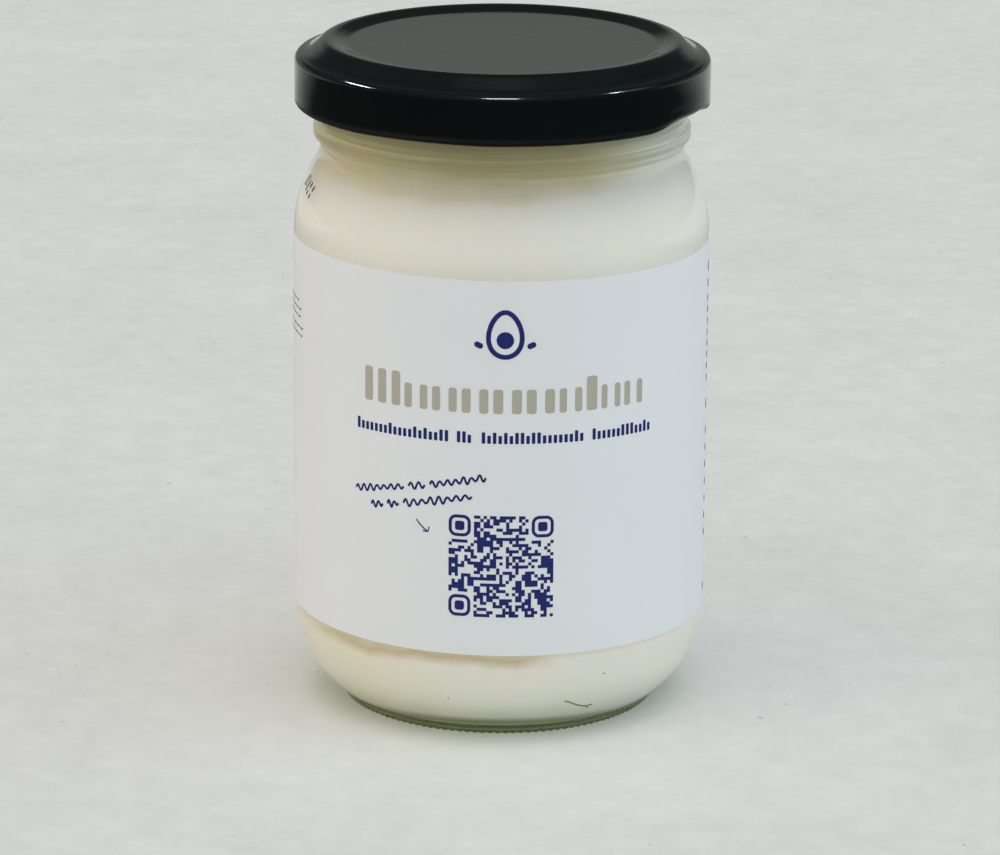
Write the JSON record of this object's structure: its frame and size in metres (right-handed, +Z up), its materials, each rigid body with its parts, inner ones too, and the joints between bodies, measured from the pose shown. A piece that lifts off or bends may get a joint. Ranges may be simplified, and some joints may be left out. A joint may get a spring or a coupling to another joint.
{
  "type": "mayonnaise jar",
  "caption": "Round clear glass jar full of mayonnaise, with a black twist-off metal lid and a printed white paper label wrapped round its straight wall.",
  "frame": {"origin": "bottom centre: the jar's axis where it meets the surface that it stands on", "axes": "+Z up along the jar's axis, -Y towards the front of the label, +X to the right seen from the front"},
  "size_m": [0.0736, 0.0735, 0.1191],
  "materials": {
    "glass": "clear soda-lime glass, faintly green where it is thick",
    "mayonnaise": "pale cream, opaque and smooth",
    "lid_enamel": "gloss black enamel on tinplate",
    "label_paper": "matte white paper with navy and beige print"
  },
  "bodies": {
    "root": {"glass_jar": "glass", "mayonnaise": "mayonnaise", "lid": "lid_enamel", "label": "label_paper"}
  },
  "joints": []
}
